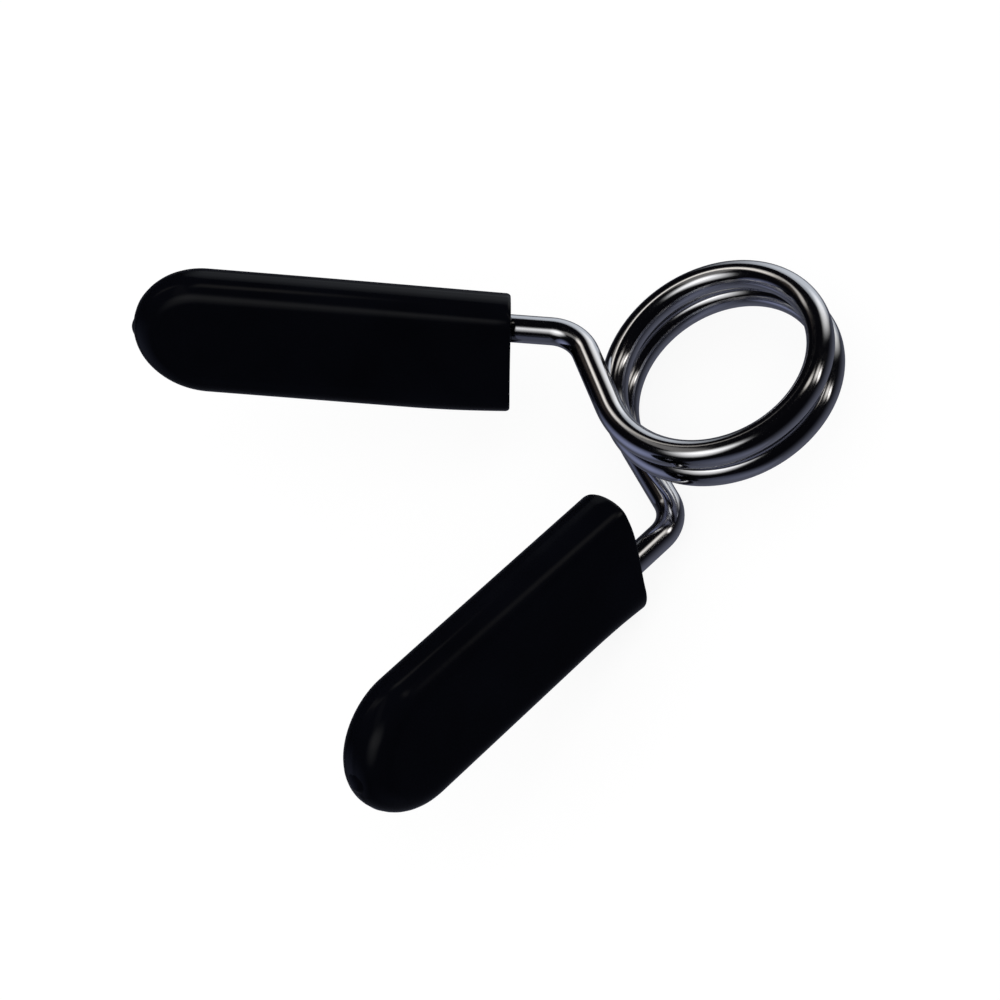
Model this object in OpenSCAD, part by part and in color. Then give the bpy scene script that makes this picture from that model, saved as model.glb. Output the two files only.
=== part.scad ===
// Spring collar for a barbell sleeve: one length of round spring wire wound into
// a two-turn coil, with both ends bent out into handles, and a moulded plastic
// grip pushed over the folded wire of each handle. Squeezing the handles
// together unwinds the coil a little, so that it slides on the bar; letting go
// clamps it. Units are millimetres. The coil's axis is Z and its middle is the
// origin; the handles point to -X, the upper one to +Y and the lower one to -Y.

/* [Coil] */
// Diameter of the spring wire
wire_d = 7; // [5.5:0.1:7.8]
// Free bore of the relaxed coil
coil_bore = 48; // [40:0.5:56]
// Clear gap between one turn and the next
turn_gap = 1.2; // [0.6:0.1:3]
// Whole turns of the coil
coil_turns = 2; // [1:1:4]
// Winding past the whole turns at each end, in degrees
lead_wind = 3; // [0:1:12]

/* [Handles] */
// Straight wire from the coil to the bend
arm_run = 18; // [9:0.5:24]
// Radius of the bend, on the wire's middle
bend_radius = 10.5; // [8:0.5:16]
// Angle between the two handles, in their own plane
handle_spread = 57; // [50:1:76]
// Angle by which the handles' plane rises out of the coil's plane
handle_rise = 19; // [0:1:25]
// Straight wire from the bend to the grip
neck_run = 12; // [8:0.5:20]
// Turn of each grip about its own length
grip_twist = 24; // [0:1:30]

/* [Wire inside the grip] */
// Distance between the two legs of the folded wire, middle to middle
leg_spacing = 13.5; // [12:0.5:16]
// Depth of the wire's cut end behind the mouth of the grip
end_setback = 6; // [2:0.5:30]

/* [Grips] */
// Length of a grip, from its mouth to its round tip
grip_length = 94.5; // [80:0.5:120]
// Width of a grip, across the two legs
grip_width = 32; // [28:0.5:36]
// Thickness of a grip
grip_thickness = 16; // [14:0.5:20]
// Radius of a grip's four long edges
edge_radius = 7.5; // [2:0.5:7.5]
// Clearance between the wire and the pocket of a grip
pocket_clearance = 0.15; // [0.05:0.05:0.4]

/* [Hidden] */
$fn = 64;
RINGS_PER_TURN = 48;
WIRE_SIDES = 16;
// Bent wire is a hair fuller than straight wire, whose ends reach into it this far.
BEND_SWELL = 0.02;
SEAM = 0.05;
UPPER = 1;
LOWER = -1;

wire_r = wire_d / 2;
coil_r = (coil_bore + wire_d) / 2;
coil_pitch = wire_d + turn_gap;
end_run = wire_d;
half_wind = 180 * coil_turns + lead_wind;
straight_grip = grip_length - grip_width / 2;
pocket_thickness = wire_d + 2 * pocket_clearance;
// The rounding of the long edges stays within the section.
edge_round = min(edge_radius, grip_width / 4, grip_thickness / 2 - 0.1);

function unit(v) = v / norm(v);

// A placement whose X, Y and Z axes are the three given directions.
function placement(x, y, z, origin) = [
    [x[0], y[0], z[0], origin[0]],
    [x[1], y[1], z[1], origin[1]],
    [x[2], y[2], z[2], origin[2]],
    [0, 0, 0, 1]
];

// The coil's centreline, by the winding angle from its middle: it falls as it winds.
function bearing(wind) = 180 + 180 * coil_turns + wind;
function radial(wind) = [cos(bearing(wind)), sin(bearing(wind)), 0];
function coil_point(wind) = coil_r * radial(wind) - [0, 0, coil_pitch * wind / 360];
function coil_heading(wind) =
    unit([-sin(bearing(wind)), cos(bearing(wind)), -coil_pitch / (2 * PI * coil_r)]);

// Where the wire leaves the coil, and which way: side is UPPER or LOWER.
function exit_wind(side) = -side * half_wind;
function exit_heading(side) = -side * coil_heading(exit_wind(side));
function exit_point(side) = coil_point(exit_wind(side)) + exit_heading(side) * end_run;

// The handles' own plane leans by handle_rise, and each handle lies in it.
plane_normal = [sin(handle_rise), 0, cos(handle_rise)];
function handle_heading(side) = [
    -cos(handle_spread / 2) * cos(handle_rise),
    side * sin(handle_spread / 2),
    cos(handle_spread / 2) * sin(handle_rise)
];
function width_axis(side) = cos(grip_twist) * plane_normal
    + sin(grip_twist) * cross(handle_heading(side), plane_normal);

// The bend between the coil's straight end and the handle.
function bend_angle(side) = acos(exit_heading(side) * handle_heading(side));
function bend_inward(side) = let (
    along = exit_heading(side),
    out = handle_heading(side)
) unit(out - (out * along) * along);
function bend_start(side) =
    exit_point(side) + exit_heading(side) * (arm_run - end_run);
function bend_centre(side) = bend_start(side) + bend_inward(side) * bend_radius;
function bend_end(side) = bend_centre(side) + bend_radius
    * (exit_heading(side) * sin(bend_angle(side)) - bend_inward(side) * cos(bend_angle(side)));

// The mouth of the grip. The wire enters near one edge and folds back to the other.
function wire_entry(side) = bend_end(side) + handle_heading(side) * neck_run;
function fold_way(side) = -side * width_axis(side);
function grip_mouth(side) = wire_entry(side) + fold_way(side) * leg_spacing / 2;

// The turn from the plane of the bend to the plane of the fold.
function fold_angle(side) = let (
    square_to = cross(exit_heading(side), bend_inward(side)),
    onward = cross(square_to, handle_heading(side))
) atan2(fold_way(side) * square_to, fold_way(side) * onward);

// The coil's points: a straight run of one wire diameter, the helix, and a straight run.
step_count = round(RINGS_PER_TURN * half_wind / 180);
winds = [for (i = [0 : step_count]) half_wind * (2 * i / step_count - 1)];
coil_path = concat(
    [exit_point(UPPER)],
    [for (wind = winds) coil_point(wind)],
    [exit_point(LOWER)]
);
path_winds = concat([-half_wind], winds, [half_wind]);

function ring(i) = let (
    out = radial(path_winds[i]),
    up = cross(coil_heading(path_winds[i]), out)
) [for (k = [0 : WIRE_SIDES - 1])
    coil_path[i] + wire_r * (cos(360 * k / WIRE_SIDES) * out + sin(360 * k / WIRE_SIDES) * up)];

// One unbroken tube through rings of the same number of sides, closed at both ends.
module tube(rings) {
    sides = len(rings[0]);
    last = len(rings) - 1;
    function at(i, k) = i * sides + k % sides;
    polyhedron(
        points = [for (r = rings) each r],
        faces = concat(
            [for (k = [1 : sides - 2]) [at(0, 0), at(0, k + 1), at(0, k)]],
            [for (i = [0 : last - 1], k = [0 : sides - 1]) each [
                [at(i, k), at(i, k + 1), at(i + 1, k)],
                [at(i, k + 1), at(i + 1, k + 1), at(i + 1, k)]
            ]],
            [for (k = [1 : sides - 2]) [at(last, 0), at(last, k), at(last, k + 1)]]
        ),
        convexity = 10
    );
}

// The least gap of the coil to itself, over points at least half a turn apart.
least_gap = min([for (i = [0 : len(coil_path) - 1], j = [i : len(coil_path) - 1])
    if (path_winds[j] - path_winds[i] >= 180) norm(coil_path[i] - coil_path[j])]) - wire_d;
echo(least_gap_of_coil_mm = least_gap);

// A straight run of wire along Z, and what follows at its far end. The run reaches
// a little way into a bend before it and into a bend after it.
module run(length, before = SEAM, after = SEAM) {
    translate([0, 0, -before]) cylinder(d = wire_d, h = before + length + after);
    translate([0, 0, length]) children();
}

// A bend of the wire from Z towards X, and what follows at its far end.
module bend(radius, angle) {
    multmatrix([[-1, 0, 0, radius], [0, 0, 1, 0], [0, 1, 0, 0], [0, 0, 0, 1]])
        rotate_extrude(angle = angle)
            translate([radius, 0])
                circle(d = wire_d + BEND_SWELL);
    translate([radius, 0, 0])
        rotate([0, angle, 0])
            translate([-radius, 0, 0])
                children();
}

module spring_coil() {
    color("silver") tube([for (i = [0 : len(coil_path) - 1]) ring(i)]);
}

// One handle's wire: from the coil's end, round the bend, along the grip and back.
module arm(side) {
    along = exit_heading(side);
    inward = bend_inward(side);
    color("silver")
        multmatrix(placement(inward, cross(along, inward), along, exit_point(side)))
            run(arm_run - end_run, before = 0)
            bend(bend_radius, bend_angle(side))
            run(neck_run + straight_grip)
            rotate([0, 0, fold_angle(side)])
            bend(leg_spacing / 2, 180)
            run(straight_grip - end_setback, after = 0);
}

module upper_arm() arm(UPPER);
module lower_arm() arm(LOWER);

// Half of a grip's section, from its middle line out to one rounded edge.
module half_section() {
    flat_half = grip_width / 2 - edge_round;
    flat_thickness = grip_thickness - 2 * edge_round;
    translate([0, -grip_thickness / 2]) square([flat_half, grip_thickness]);
    translate([0, -flat_thickness / 2]) square([grip_width / 2, flat_thickness]);
    for (y = [-1, 1])
        translate([flat_half, y * flat_thickness / 2]) circle(r = edge_round);
}

// Half of the pocket's section: the folded wire's outline with its clearance.
module half_pocket() {
    translate([0, -pocket_thickness / 2]) square([leg_spacing / 2, pocket_thickness]);
    translate([leg_spacing / 2, 0]) circle(d = pocket_thickness);
}

// A half section carried along Z on both sides, then round a half circle.
module round_ended(length) {
    linear_extrude(length)
        for (flip = [0, 1]) mirror([flip, 0]) children();
    translate([0, 0, length])
        rotate([90, 0, 0])
            rotate_extrude(angle = 180)
                children();
}

module grip(side) {
    heading = handle_heading(side);
    width = width_axis(side);
    mouth_cut = 1;
    color("#16161a")
        multmatrix(placement(width, cross(heading, width), heading, grip_mouth(side)))
            difference() {
                round_ended(straight_grip) half_section();
                translate([0, 0, -mouth_cut])
                    round_ended(straight_grip + mouth_cut) half_pocket();
            }
}

module upper_grip() grip(UPPER);
module lower_grip() grip(LOWER);

spring_coil();
upper_arm();
lower_arm();
upper_grip();
lower_grip();
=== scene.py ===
"""A spring collar for a bar: its chromed wire and its two moulded grips, in a small studio."""
import math

import bmesh
import bpy
from mathutils import Matrix, Vector


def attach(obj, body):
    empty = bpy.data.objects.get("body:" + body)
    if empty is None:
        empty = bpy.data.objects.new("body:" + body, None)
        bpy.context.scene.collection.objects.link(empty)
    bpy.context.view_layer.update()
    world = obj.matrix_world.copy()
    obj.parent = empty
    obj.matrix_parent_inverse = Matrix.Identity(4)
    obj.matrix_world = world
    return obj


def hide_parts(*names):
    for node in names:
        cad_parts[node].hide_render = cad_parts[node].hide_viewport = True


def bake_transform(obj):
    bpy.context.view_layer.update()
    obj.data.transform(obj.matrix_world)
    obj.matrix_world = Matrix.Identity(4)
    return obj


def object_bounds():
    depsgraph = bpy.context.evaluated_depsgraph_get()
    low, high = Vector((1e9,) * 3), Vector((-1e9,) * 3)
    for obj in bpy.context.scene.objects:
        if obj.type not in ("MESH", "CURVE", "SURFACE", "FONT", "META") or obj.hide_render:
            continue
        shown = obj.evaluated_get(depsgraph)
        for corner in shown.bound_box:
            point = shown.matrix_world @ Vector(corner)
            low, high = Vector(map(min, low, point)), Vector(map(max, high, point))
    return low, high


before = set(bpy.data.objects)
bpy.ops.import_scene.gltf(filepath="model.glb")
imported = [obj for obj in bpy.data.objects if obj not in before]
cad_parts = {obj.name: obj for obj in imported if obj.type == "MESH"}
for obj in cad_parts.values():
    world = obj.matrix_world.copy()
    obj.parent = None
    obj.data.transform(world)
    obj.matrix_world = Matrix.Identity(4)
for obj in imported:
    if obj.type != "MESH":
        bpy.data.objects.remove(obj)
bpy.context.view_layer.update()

# ---- Sizes, in millimetres and degrees, as the part's source has them ----
MM = 0.001
UPPER, LOWER = 1, -1

WIRE_D = 7.0
COIL_BORE = 48.0
TURN_GAP = 1.2
COIL_TURNS = 2
LEAD_WIND = 3.0

ARM_RUN = 18.0
BEND_RADIUS = 10.5
HANDLE_SPREAD = 57.0
HANDLE_RISE = 19.0
NECK_RUN = 12.0
GRIP_TWIST = 24.0

LEG_SPACING = 13.5
END_SETBACK = 6.0

GRIP_LENGTH = 94.5
GRIP_WIDTH = 32.0
GRIP_THICKNESS = 16.0
EDGE_RADIUS = 7.5
POCKET_CLEARANCE = 0.15

WIRE_R = WIRE_D / 2
COIL_R = (COIL_BORE + WIRE_D) / 2
COIL_PITCH = WIRE_D + TURN_GAP
HALF_WIND = 180 * COIL_TURNS + LEAD_WIND
STRAIGHT_GRIP = GRIP_LENGTH - GRIP_WIDTH / 2

# ---- Detail that only the looks have, in millimetres ----
WIRE_SIDES = 56
COIL_STEP = 2.5             # degrees of winding between rings
BEND_STEP = 5.0             # degrees of bend between rings
STRAIGHT_STEP = 3.0         # between rings on a straight stretch
WIRE_END_CHAMFER = 0.6

FACE_STEPS = 8              # across half a flat face of a grip
EDGE_STEPS = 10             # round a quarter of a long edge
RIM_STEPS = 5               # round the rim of a mouth
BODY_STEPS = 30             # along the straight sides
TIP_STEPS = 24              # round a quarter of the tip
WELD = 0.001                # points of a grip that are nearer than this are made one

RIM_RADIUS = 1.0            # rounding of a grip's mouth
LEAD_IN = 0.5               # rounding where the wire goes into a grip
CROWN = 0.45                # how much thinner a grip is at its long edges
SHOULDER = 6.0              # how far in the round of a long edge reaches, so that it has a shoulder
PART_LINE = 0.08            # height of the mould's parting line, round the long edge
TIP_REACH = 18.5            # half length of the tip's oval, along the grip

NUB_HEIGHT = 0.7            # low moulding nub on the tip
NUB_RADIUS = 2.6
NUB_ASIDE = 0.5             # how far from the tip's middle it is, towards the free edge
NUB_SIDES = 16
# Its outline: how far out, of its radius, and how far up, of its height.
NUB_PROFILE = ((1.3, -0.6), (1.0, 0), (0.8, 0.35), (0.55, 0.7), (0.3, 0.93), (0, 1))
TIP_CURVE = 13.0            # rough radius of the tip under the nub

# The grips aren't quite alike. Each has a free edge, and an edge where its wire goes in.
# How far back its mouth is cut at its free edge and at its wire's edge, and how much further on
# the side that faces the camera. Below zero the mouth reaches further out. The cut changes
# between two shares of the half width, and it is felt for some way along the grip.
MOUTH_CUT = {UPPER: (-1.6, -1.7, -1.3), LOWER: (-0.7, 3.1, 0.0)}
MOUTH_CUT_SPAN = (-0.5, 0.9)
MOUTH_REACH = 24.0
# How far its free edge and its wire's edge stand out at the mouth, and how far they draw in
# from the tip to there, and between which shares of the half width that is felt.
MOUTH_FLARE = {UPPER: (-1.1, 0.0), LOWER: (0.0, 1.2)}
TAPER = {UPPER: (0.0, 0.8), LOWER: (0.85, 0.3)}
TAPER_POWER = 1.5
EDGE_SPAN = (0.6, 1)
# How much further its tip reaches on its wire's side, how far it is drawn back at both edges
# and all over, and how far along the grip that starts and is full.
TIP_SKEW = {UPPER: (0.5, 0.3, 0.1), LOWER: (2.2, 0.9, 0.6)}
TIP_SKEW_SPAN = (35, 80)

# ---- Camera: where it stands, and where the coil's middle is in a picture of 1000 by 1000 ----
# Its numbers come from a scratch program's fit to the outlines in the photograph.
PICTURE = 1000
CAMERA_AZIMUTH = 277.34
CAMERA_ELEVATION = 51.18
CAMERA_ROLL = -34.97
CAMERA_DISTANCE = 1117.0
FOCAL_PX = 4537
ORIGIN_PX = (719.8, 373.8)
SENSOR = 36.0

# ---- Materials: linear colours, and the depths of bumps in millimetres ----
NOISE_LOW, NOISE_HIGH = 0.3, 0.7    # nearly all of a noise lies between these
CHROME_DARKER = (0.80, 0.80, 0.82)
CHROME_LIGHTER = (0.84, 0.84, 0.86)
CHROME_ROUGHNESS = (0.08, 0.12)
RIPPLE_DEPTH = 0.02         # in the drawn wire under the plate
MARK_DEPTH = 0.002
VINYL_DARKER = (0.0015, 0.0017, 0.0029)
VINYL_LIGHTER = (0.0021, 0.0024, 0.0042)
VINYL_ROUGHNESS = (0.12, 0.16)
VINYL_GLOSS = 0.1
WAVE_DEPTH = 0.03
GRAIN_DEPTH = 0.003

# ---- Studio: what the chrome reflects, in linear colours, by bearing and height in degrees ----
STUDIO_R = 1.5              # metres from the coil to a panel that isn't given as near
SURROUND_R = 1.8            # and to the dark surround
SURROUND_SEGMENTS = 64
WORLD_LIGHT = 0.9
FLOOR_R = 3.0               # metres, like those two
FLOOR_SIDES = 60
FLOOR_SHADE = 0.14          # how bright the floor's own paint is, which is what shows a shadow
FLOOR_WHITE = 1.02          # how bright it is in all, away from the shadow
DARK = (0.002, 0.002, 0.003)
TABLE = (0.1, 0.106, 0.14)
TABLE_FADE = (-0.15, 1.2)   # how far down, of 1, the table starts to show, and would be full
# Most of these numbers come from a scratch program's fit to the reflections in the photograph,
# with changes by hand.
# name, azimuth, elevation, width, height, turn, softness, colour, and metres to it if near
PANELS = (
    ("softbox", -137, 57, 50, 61, 10, 0.85, (0.84, 0.84, 0.84)),
    ("softbox_haze", -135, 64, 56, 30, -6, 0.7, (0.36, 0.36, 0.36)),
    ("window", 56, -1, 66, 93, 25, 0.8, (0.56, 0.595, 0.64)),
    ("window_core", 32, 10, 42, 64, 10, 0.85, (0.7, 0.7, 0.69)),
    ("strip_low", -15, 18, 12, 30, 32, 0.9, (1.9, 1.82, 1.72)),
    ("strip_middle", -8, 36, 14, 34, 42, 0.95, (0.95, 0.91, 0.85)),
    ("strip_high", 9, 58, 30, 12, -28, 0.8, (0.75, 0.71, 0.65)),
    ("lamp_low", 116, 42, 38, 10, 45, 0.8, (0.46, 0.44, 0.41)),
    ("lamp_high", 106, 55, 32, 15, 0, 0.9, (0.95, 0.9, 0.83), 0.25),
    ("lamp_glow", 124, 40, 34, 36, 0, 0.9, (0.03, 0.024, 0.02)),
    ("back_wall", 176, -5, 86, 65, -22, 1.0, (0.19, 0.21, 0.33)),
    ("ceiling", 158, 72, 77, 18, -5, 0.4, (0.15, 0.145, 0.14)),
    ("slate", -116, -24, 112, 62, 55, 1.0, (0.05, 0.055, 0.08)),
)


# ---- Where the wire goes ----
def cos(degrees):
    return math.cos(math.radians(degrees))


def sin(degrees):
    return math.sin(math.radians(degrees))


def coil_bearing(wind):
    """Where round its axis the coil is at a winding angle from its middle."""
    return 180 + 180 * COIL_TURNS + wind


def coil_point(wind):
    """A point of the coil's centreline, which falls as it winds."""
    bearing = coil_bearing(wind)
    return Vector((COIL_R * cos(bearing), COIL_R * sin(bearing), -COIL_PITCH * wind / 360))


def coil_heading(wind):
    """The way the coil's centreline runs at a winding angle."""
    bearing = coil_bearing(wind)
    fall = COIL_PITCH / (2 * math.pi * COIL_R)
    return Vector((-sin(bearing), cos(bearing), -fall)).normalized()


def exit_wind(side):
    """The winding angle at which a handle's wire leaves the coil."""
    return -side * HALF_WIND


def handle_heading(side):
    """The way a handle points, from its bend to its tip."""
    half = HANDLE_SPREAD / 2
    return Vector((
        -cos(half) * cos(HANDLE_RISE),
        side * sin(half),
        cos(half) * sin(HANDLE_RISE),
    ))


def width_axis(side):
    """The direction across a grip's two legs of wire."""
    plane_normal = Vector((sin(HANDLE_RISE), 0, cos(HANDLE_RISE)))
    across = handle_heading(side).cross(plane_normal)
    return cos(GRIP_TWIST) * plane_normal + sin(GRIP_TWIST) * across


class Route:
    """A walk along the wire: straight on, or round a bend towards a given way."""

    def __init__(self, point, heading):
        self.heading = heading.copy()
        self.points = [point.copy()]

    def straight(self, length):
        steps = max(1, round(length / STRAIGHT_STEP))
        start = self.points[-1]
        self.points += [start + self.heading * length * i / steps for i in range(1, steps + 1)]

    def bend(self, radius, degrees, towards):
        steps = max(2, round(degrees / BEND_STEP))
        along = self.heading
        inward = (towards - towards.dot(along) * along).normalized()
        centre = self.points[-1] + inward * radius
        for i in range(1, steps + 1):
            turned = degrees * i / steps
            self.points.append(centre + radius * (along * sin(turned) - inward * cos(turned)))
        self.heading = along * cos(degrees) + inward * sin(degrees)


def arm_route(side):
    """One handle's wire from the coil to its cut end, and the middle of its grip's mouth."""
    outward = -side * coil_heading(exit_wind(side))
    out = handle_heading(side)
    fold_way = -side * width_axis(side)
    route = Route(coil_point(exit_wind(side)), outward)
    route.straight(ARM_RUN)
    route.bend(BEND_RADIUS, math.degrees(outward.angle(out)), out)
    route.straight(NECK_RUN)
    mouth = route.points[-1] + fold_way * LEG_SPACING / 2
    route.straight(STRAIGHT_GRIP)
    route.bend(LEG_SPACING / 2, 180, fold_way)
    route.straight(STRAIGHT_GRIP - END_SETBACK)
    return route.points, mouth


# ---- Meshes ----
def add_object(name, data):
    """A new object in the scene, with this mesh or camera."""
    made = bpy.data.objects.new(name, data)
    bpy.context.scene.collection.objects.link(made)
    return made


def smooth_object(name, points, faces):
    """A smooth mesh object from points in millimetres."""
    mesh = bpy.data.meshes.new(name)
    mesh.from_pydata([p * MM for p in points], [], faces)
    mesh.polygons.foreach_set("use_smooth", [True] * len(mesh.polygons))
    return add_object(name, mesh)


def ring_faces(rings, sides):
    """Faces between neighbouring rings of points that are numbered ring after ring."""
    return [
        (i * sides + k, i * sides + (k + 1) % sides,
         (i + 1) * sides + (k + 1) % sides, (i + 1) * sides + k)
        for i in range(rings - 1) for k in range(sides)
    ]


def carried_frames(points):
    """A pair of directions across the line at each of its points, carried along without twist."""
    frames = []
    across = None
    for i in range(len(points)):
        heading = (points[min(i + 1, len(points) - 1)] - points[max(i - 1, 0)]).normalized()
        if across is None:
            across = heading.orthogonal()
        across = (across - across.dot(heading) * heading).normalized()
        frames.append((across.copy(), heading.cross(across)))
    return frames


def build_wire():
    """The whole spring from one cut end to the other, in one piece."""
    upper, lower = arm_route(UPPER)[0], arm_route(LOWER)[0]
    steps = round(2 * HALF_WIND / COIL_STEP)
    coil = [coil_point(HALF_WIND * (2 * i / steps - 1)) for i in range(1, steps)]
    points = upper[::-1] + coil + lower

    radii = [WIRE_R] * len(points)
    for end, inner in ((0, 1), (-1, -2)):
        chamfer = (points[inner] - points[end]).normalized() * WIRE_END_CHAMFER
        radii[end] = WIRE_R - WIRE_END_CHAMFER
        points[inner] = points[end] + chamfer

    places = []
    for point, (across, up), radius in zip(points, carried_frames(points), radii):
        for k in range(WIRE_SIDES):
            turn = 360 * k / WIRE_SIDES
            places.append(point + radius * (cos(turn) * across + sin(turn) * up))
    faces = ring_faces(len(points), WIRE_SIDES)
    faces.append(tuple(reversed(range(WIRE_SIDES))))
    faces.append(tuple(range(len(places) - WIRE_SIDES, len(places))))
    wire = smooth_object("spring", places, faces)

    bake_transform(wire)
    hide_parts("spring_coil", "upper_arm", "lower_arm")
    return wire


# ---- Grips ----
def shell_ring(flat, half, radius, squash, ridge, z, forward=0, oval=1):
    """Points once round a flat bar with round edges.

    flat is half the width of its flat faces and half is half the height of its straight
    edges. squash is how far the round of an edge reaches for its height, and ridge is how far
    the parting line stands out from it. forward is how far its edges face along the bar: 0 on
    the sides and 90 at the tip, where oval is how much longer than round the tip is.
    """
    ring = []
    quarter = [90 * i / EDGE_STEPS for i in range(EDGE_STEPS + 1)]
    for way in (1, -1):
        for i in range(-FACE_STEPS, FACE_STEPS):
            x = flat * cos(forward) * i / FACE_STEPS
            ring.append(Vector((way * x, way * (half + radius), z + flat * oval * sin(forward))))
        edge = [(squash * radius * sin(turn), half + radius * cos(turn)) for turn in quarter]
        edge.append((squash * radius + ridge, 0))
        edge += [(reach, -height) for reach, height in edge[-2:0:-1]]
        for reach, height in edge:
            x = (flat + reach) * cos(forward)
            ring.append(Vector((way * x, way * height, z + (flat + reach) * oval * sin(forward))))
    return ring


def shell_rings(flat, thickness, radius, mouth, tip_middle, oval=1, squash=1, ridge=0):
    """The rings of a flat shell, from its mouth to its round tip.

    mouth lists how far the shell is drawn in, and where, at each ring of its rounded mouth.
    """
    half = thickness / 2 - radius
    rings = [shell_ring(flat, half, radius - inset, squash, ridge, z) for inset, z in mouth]
    begin = mouth[-1][1]
    for i in range(1, BODY_STEPS + 1):
        z = begin + (tip_middle - begin) * i / BODY_STEPS
        rings.append(shell_ring(flat, half, radius, squash, ridge, z))
    for i in range(1, TIP_STEPS + 1):
        turn = 90 * i / TIP_STEPS
        rings.append(shell_ring(flat, half, radius, squash, ridge, tip_middle, turn, oval))
    return rings


def rounded_mouth(radius, way):
    """How far each ring of a mouth is drawn in, and where it lies; way is -1 where it flares."""
    turns = [90 * i / RIM_STEPS for i in range(RIM_STEPS + 1)]
    return [(way * radius * (1 - sin(t)), radius * (1 - cos(t))) for t in turns]


def eased(value, low, high):
    """0 at low and below, 1 at high and above, and a smooth rise between them."""
    share = min(1, max(0, (value - low) / (high - low)))
    return share * share * (3 - 2 * share)


def moulded(point, side):
    """Where a point of a plain grip lies on the moulded one, with its crown, edges and ends."""
    across = 2 * point.x / GRIP_WIDTH
    facing = -side * 2 * point.y / GRIP_THICKNESS
    near_mouth = max(0, 1 - point.z / MOUTH_REACH)
    free_cut, wire_cut, facing_cut = MOUTH_CUT[side]
    cut = free_cut + (wire_cut - free_cut) * eased(across, *MOUTH_CUT_SPAN) + facing_cut * facing

    edge = 1 if across > 0 else 0
    drawn_in = TAPER[side][edge] * max(0, 1 - point.z / GRIP_LENGTH) ** TAPER_POWER
    outward = MOUTH_FLARE[side][edge] * near_mouth ** 2 - drawn_in
    outward *= eased(abs(across), *EDGE_SPAN)

    lean, edge_back, back = TIP_SKEW[side]
    skew = lean * across - edge_back * across ** 2 - back
    return Vector((
        point.x + (outward if across > 0 else -outward),
        point.y * (1 - 2 * CROWN / GRIP_THICKNESS * across ** 2),
        point.z + cut * near_mouth + skew * eased(point.z, *TIP_SKEW_SPAN),
    ))


def nub_rings():
    """The rings of the nub that the mould leaves on the tip, from inside the tip to its top."""
    turns = [360 * k / NUB_SIDES for k in range(NUB_SIDES)]
    rings = []
    for share, rise in NUB_PROFILE:
        radius = NUB_RADIUS * share
        places = [(radius * cos(t) - NUB_ASIDE, radius * sin(t)) for t in turns]
        top = GRIP_LENGTH + NUB_HEIGHT * rise
        rings.append([Vector((x, y, top - (x * x + y * y) / 2 / TIP_CURVE)) for x, y in places])
    return rings


def build_grip(side):
    """A moulded grip with a rounded mouth, and the pocket that the folded wire fills."""
    outer = shell_rings(
        GRIP_WIDTH / 2 - SHOULDER, GRIP_THICKNESS, EDGE_RADIUS, rounded_mouth(RIM_RADIUS, 1),
        GRIP_LENGTH - TIP_REACH, TIP_REACH / (GRIP_WIDTH / 2), SHOULDER / EDGE_RADIUS, PART_LINE)
    pocket_thickness = WIRE_D + 2 * POCKET_CLEARANCE
    inner = shell_rings(
        LEG_SPACING / 2, pocket_thickness, pocket_thickness / 2, rounded_mouth(LEAD_IN, -1),
        STRAIGHT_GRIP)
    shell = inner[::-1] + outer
    nub = nub_rings()

    places = [moulded(point, side) for ring in shell + nub for point in ring]
    faces = ring_faces(len(shell), len(outer[0]))
    first = len(shell) * len(outer[0])
    faces += [tuple(first + i for i in face) for face in ring_faces(len(nub), NUB_SIDES)]

    # A grip's own axes are across the wire's two legs, through its thickness, and along it.
    heading, width = handle_heading(side), width_axis(side)
    axes = Matrix((width * side, heading.cross(width) * side, heading)).transposed()
    mouth = arm_route(side)[1]
    name = "upper_grip_moulding" if side == UPPER else "lower_grip_moulding"
    grip = smooth_object(name, [mouth + axes @ point for point in places], faces)

    welded = bmesh.new()
    welded.from_mesh(grip.data)
    bmesh.ops.remove_doubles(welded, verts=welded.verts, dist=WELD * MM)
    bmesh.ops.recalc_face_normals(welded, faces=welded.faces)
    welded.to_mesh(grip.data)
    welded.free()

    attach(grip, "upper_handle" if side == UPPER else "spring")
    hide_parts("upper_grip" if side == UPPER else "lower_grip")
    return grip


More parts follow.
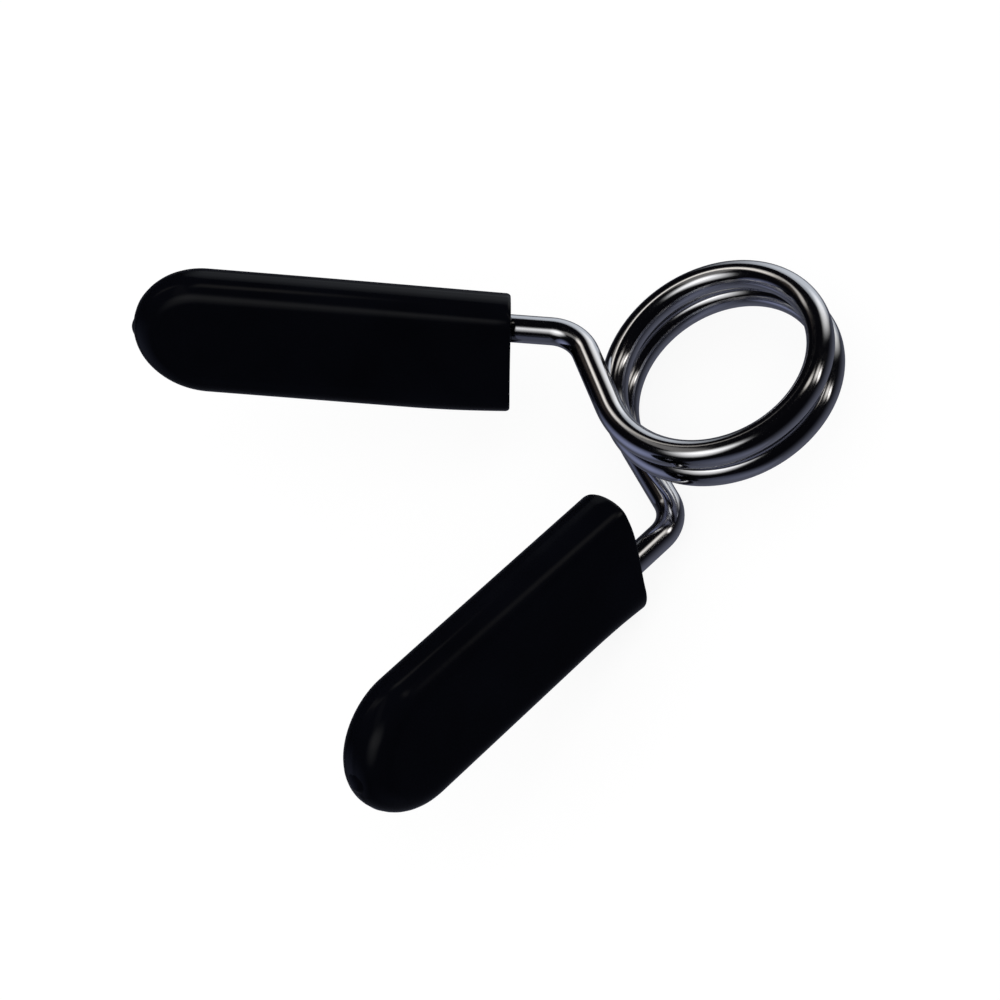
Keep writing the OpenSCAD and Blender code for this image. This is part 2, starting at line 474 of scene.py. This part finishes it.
# ---- Materials ----
class Nodes:
    """The node tree of a material or world, with short ways to add to it."""

    def __init__(self, tree):
        self.tree = tree

    def add(self, kind, inputs=(), **settings):
        """A new node with its settings and inputs; an input is a value or another node's output."""
        node = self.tree.nodes.new(kind)
        for key, value in settings.items():
            setattr(node, key, value)
        for key, value in dict(inputs).items():
            self.join(value, node.inputs[key])
        return node

    def join(self, value, socket):
        if isinstance(value, bpy.types.NodeSocket):
            self.tree.links.new(value, socket)
        else:
            socket.default_value = value

    def noise(self, scale, detail, roughness=0.5):
        """Noise over the object, with its scale in waves per metre."""
        place = self.add("ShaderNodeTexCoord").outputs["Object"]
        made = self.add("ShaderNodeTexNoise", {
            "Vector": place, "Scale": scale, "Detail": detail, "Roughness": roughness})
        return made.outputs["Fac"]

    def ranged(self, value, low, high, start=NOISE_LOW, end=NOISE_HIGH, **settings):
        """A number from low to high, as the value goes from start to end."""
        made = self.add("ShaderNodeMapRange", {
            "Value": value, "From Min": start, "From Max": end, "To Min": low, "To Max": high,
        }, **settings)
        return made.outputs["Result"]

    def shades(self, noise, low, high):
        """A colour from low to high, as the noise rises."""
        ramp = self.add("ShaderNodeValToRGB", {"Fac": noise})
        stops = ((NOISE_LOW, low), (NOISE_HIGH, high))
        for element, (place, colour) in zip(ramp.color_ramp.elements, stops):
            element.position = place
            element.color = (*colour, 1)
        return ramp.outputs["Color"]

    def bumps(self, *layers):
        """The normal over bumps one on the other, each a (height, depth in millimetres)."""
        normal = None
        for height, depth in layers:
            inputs = {"Height": height, "Distance": depth * MM, "Strength": 1.0}
            if normal:
                inputs["Normal"] = normal
            normal = self.add("ShaderNodeBump", inputs).outputs["Normal"]
        return normal

    def finish(self, **inputs):
        """Sets the inputs of the material's own Principled shader."""
        shader = self.tree.nodes["Principled BSDF"]
        for key, value in inputs.items():
            self.join(value, shader.inputs[key.replace("_", " ")])

    def show(self, shader):
        """Gives a blank material its output, with this shader node as the surface."""
        self.add("ShaderNodeOutputMaterial", {"Surface": shader.outputs[0]})


def new_material(name):
    """A new material and its nodes, with a Principled shader among them."""
    material = bpy.data.materials.new(name)
    material.use_nodes = True
    return material, Nodes(material.node_tree)


def blank_material(name):
    """A new material and its nodes, of which there are none yet."""
    material, nodes = new_material(name)
    nodes.tree.nodes.clear()
    return material, nodes


def chrome():
    """Bright chrome plate over drawn wire: clean, with a faint ripple and a few soft marks."""
    material, nodes = new_material("chrome_plate")
    blush = nodes.noise(scale=90, detail=3)
    ripple = nodes.noise(scale=120, detail=1)
    marks = nodes.noise(scale=700, detail=4, roughness=0.6)
    nodes.finish(
        Base_Color=nodes.shades(blush, CHROME_DARKER, CHROME_LIGHTER),
        Metallic=1.0,
        Roughness=nodes.ranged(marks, *CHROME_ROUGHNESS),
        Normal=nodes.bumps((ripple, RIPPLE_DEPTH), (marks, MARK_DEPTH)))
    return material


def grip_plastic():
    """Deep black moulded vinyl: a dull gloss, very slightly blue, a little uneven."""
    material, nodes = new_material("black_vinyl")
    clouds = nodes.noise(scale=60, detail=3)
    waves = nodes.noise(scale=140, detail=2)
    grain = nodes.noise(scale=1500, detail=2)
    nodes.finish(
        Base_Color=nodes.shades(clouds, VINYL_DARKER, VINYL_LIGHTER),
        Roughness=nodes.ranged(clouds, *VINYL_ROUGHNESS),
        Specular_IOR_Level=VINYL_GLOSS,
        Normal=nodes.bumps((waves, WAVE_DEPTH), (grain, GRAIN_DEPTH)))
    return material


# ---- Studio ----
def way_to(azimuth, elevation):
    """The direction with this bearing from +X and this height above the floor."""
    return Vector((
        cos(elevation) * cos(azimuth), cos(elevation) * sin(azimuth), sin(elevation)))


def set_camera():
    """The camera, from its bearing round the coil and where the coil's middle is in the picture."""
    back = way_to(CAMERA_AZIMUTH, CAMERA_ELEVATION)
    level = (-back).cross(Vector((0, 0, 1))).normalized()
    upright = back.cross(level)
    right = cos(CAMERA_ROLL) * level + sin(CAMERA_ROLL) * upright
    up = cos(CAMERA_ROLL) * upright - sin(CAMERA_ROLL) * level
    aside = (ORIGIN_PX[0] - PICTURE / 2) / FOCAL_PX * CAMERA_DISTANCE
    below = (ORIGIN_PX[1] - PICTURE / 2) / FOCAL_PX * CAMERA_DISTANCE
    place = back * CAMERA_DISTANCE - right * aside + up * below

    data = bpy.data.cameras.new("camera")
    data.sensor_width = SENSOR
    data.lens = FOCAL_PX / PICTURE * SENSOR
    camera = add_object("camera", data)
    camera.matrix_world = Matrix((right, up, back)).transposed().to_4x4()
    camera.location = place * MM
    bpy.context.scene.camera = camera


def only_in_reflections(obj):
    """A stage piece that only the chrome and the gloss of the grips show."""
    obj.visible_camera = obj.visible_diffuse = obj.visible_shadow = False
    obj.visible_transmission = False


def soft_card(name, colour, softness):
    """A light that is full in the middle of its card and fades out towards an oval edge."""
    material, nodes = blank_material(name)
    place = nodes.add("ShaderNodeTexCoord").outputs["UV"]
    centred = nodes.add("ShaderNodeVectorMath", {
        0: place, 1: (2, 2, 0), 2: (-1, -1, 0)}, operation="MULTIPLY_ADD")
    spread = nodes.add("ShaderNodeVectorMath", {0: centred.outputs[0]}, operation="LENGTH")
    fade = nodes.ranged(
        spread.outputs["Value"], 1, 0, 1 - softness, 1, interpolation_type="SMOOTHSTEP")
    glow = nodes.add("ShaderNodeEmission", {"Color": (*colour, 1), "Strength": fade})
    clear = nodes.add("ShaderNodeBsdfTransparent")
    nodes.show(nodes.add("ShaderNodeAddShader", {0: glow.outputs[0], 1: clear.outputs[0]}))
    return material


def surround_card():
    """The dark studio round the coil: nearly black, and slate further down."""
    material, nodes = blank_material("surround_card")
    place = nodes.add("ShaderNodeTexCoord").outputs["Object"]
    height = nodes.add("ShaderNodeSeparateXYZ", {0: place}).outputs["Z"]
    start, full = (-share * SURROUND_R for share in TABLE_FADE)
    depth = nodes.ranged(height, 0, 1, start, full, interpolation_type="SMOOTHSTEP")
    dark = nodes.add("ShaderNodeEmission", {"Color": (*DARK, 1)})
    slate = nodes.add("ShaderNodeEmission", {"Color": (*TABLE, 1)})
    nodes.show(nodes.add("ShaderNodeMixShader", {
        "Fac": depth, 1: dark.outputs[0], 2: slate.outputs[0]}))
    return material


def add_panel(name, azimuth, elevation, width, height, turn, softness, colour, far=STUDIO_R):
    """A soft light panel that faces the coil; its width and height are angles seen from there."""
    half_w, half_h = (far * math.tan(math.radians(a / 2)) for a in (width, height))
    corners = ((0, 0), (1, 0), (1, 1), (0, 1))
    places = [((2 * u - 1) * half_w, (2 * v - 1) * half_h, 0) for u, v in corners]
    mesh = bpy.data.meshes.new(name)
    mesh.from_pydata(places, [], [(0, 1, 2, 3)])
    for loop, corner in zip(mesh.uv_layers.new(name="UVMap").data, corners):
        loop.uv = corner
    mesh.materials.append(soft_card(name, colour, softness))
    panel = add_object(name, mesh)
    out = way_to(azimuth, elevation)
    facing = (-out).to_track_quat("Z", "Y").to_matrix().to_4x4()
    panel.matrix_world = (
        Matrix.Translation(out * far) @ facing @ Matrix.Rotation(math.radians(turn), 4, "Z"))
    only_in_reflections(panel)


def sight(nodes):
    """1 for camera, glossy and transmission rays, which see white, and 0 for the others."""
    path = nodes.add("ShaderNodeLightPath")
    seen = path.outputs["Is Camera Ray"]
    for name in ("Is Glossy Ray", "Is Transmission Ray"):
        either = nodes.add("ShaderNodeMath", {0: seen, 1: path.outputs[name]}, operation="MAXIMUM")
        seen = either.outputs[0]
    return seen


def set_world():
    """White to look at, and an even soft white light on everything."""
    world = bpy.data.worlds.new("studio")
    bpy.context.scene.world = world
    world.use_nodes = True
    nodes = Nodes(world.node_tree)
    light = nodes.tree.nodes["Background"]
    nodes.join((1, 1, 1, 1), light.inputs["Color"])
    nodes.join(WORLD_LIGHT, light.inputs["Strength"])
    white = nodes.add("ShaderNodeBackground", {"Color": (1, 1, 1, 1)})
    mix = nodes.add("ShaderNodeMixShader", {
        "Fac": sight(nodes), 1: light.outputs[0], 2: white.outputs[0]})
    nodes.join(mix.outputs[0], nodes.tree.nodes["World Output"].inputs["Surface"])
    # It is as bright all round, so there is no bright part to look for.
    world.cycles.sampling_method = "NONE"


def floor_material():
    """A pale floor: mostly white by itself, with enough of its own shade to keep a shadow."""
    material, nodes = blank_material("pale_floor")
    paint = nodes.add("ShaderNodeBsdfDiffuse", {"Color": (FLOOR_SHADE,) * 3 + (1,)})
    own_light = FLOOR_WHITE - FLOOR_SHADE * WORLD_LIGHT
    strength = nodes.add("ShaderNodeMath", {0: sight(nodes), 1: own_light}, operation="MULTIPLY")
    glow = nodes.add("ShaderNodeEmission", {"Strength": strength.outputs[0]})
    nodes.show(nodes.add("ShaderNodeAddShader", {0: paint.outputs[0], 1: glow.outputs[0]}))
    return material


def build_floor():
    """A wide disc under the collar. The chrome shows the studio's dark table in its place."""
    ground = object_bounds()[0].z
    turns = [360 * i / FLOOR_SIDES for i in range(FLOOR_SIDES)]
    corners = [(FLOOR_R * cos(t), FLOOR_R * sin(t), ground) for t in turns]
    mesh = bpy.data.meshes.new("floor")
    mesh.from_pydata(corners, [], [tuple(range(FLOOR_SIDES))])
    mesh.materials.append(floor_material())
    floor = add_object("floor", mesh)
    floor.visible_glossy = False


def build_surround():
    """A dark sphere round the coil and its panels, which the chrome shows between them."""
    bpy.ops.mesh.primitive_uv_sphere_add(
        segments=SURROUND_SEGMENTS, ring_count=SURROUND_SEGMENTS // 2, radius=SURROUND_R)
    surround = bpy.context.object
    surround.name = "dark_surround"
    surround.data.materials.append(surround_card())
    only_in_reflections(surround)


# ---- The whole scene ----
bpy.context.scene.view_settings.view_transform = "Standard"
build_wire().data.materials.append(chrome())
vinyl = grip_plastic()
for side in (UPPER, LOWER):
    build_grip(side).data.materials.append(vinyl)
set_camera()
set_world()
build_floor()
build_surround()
for panel in PANELS:
    add_panel(*panel)
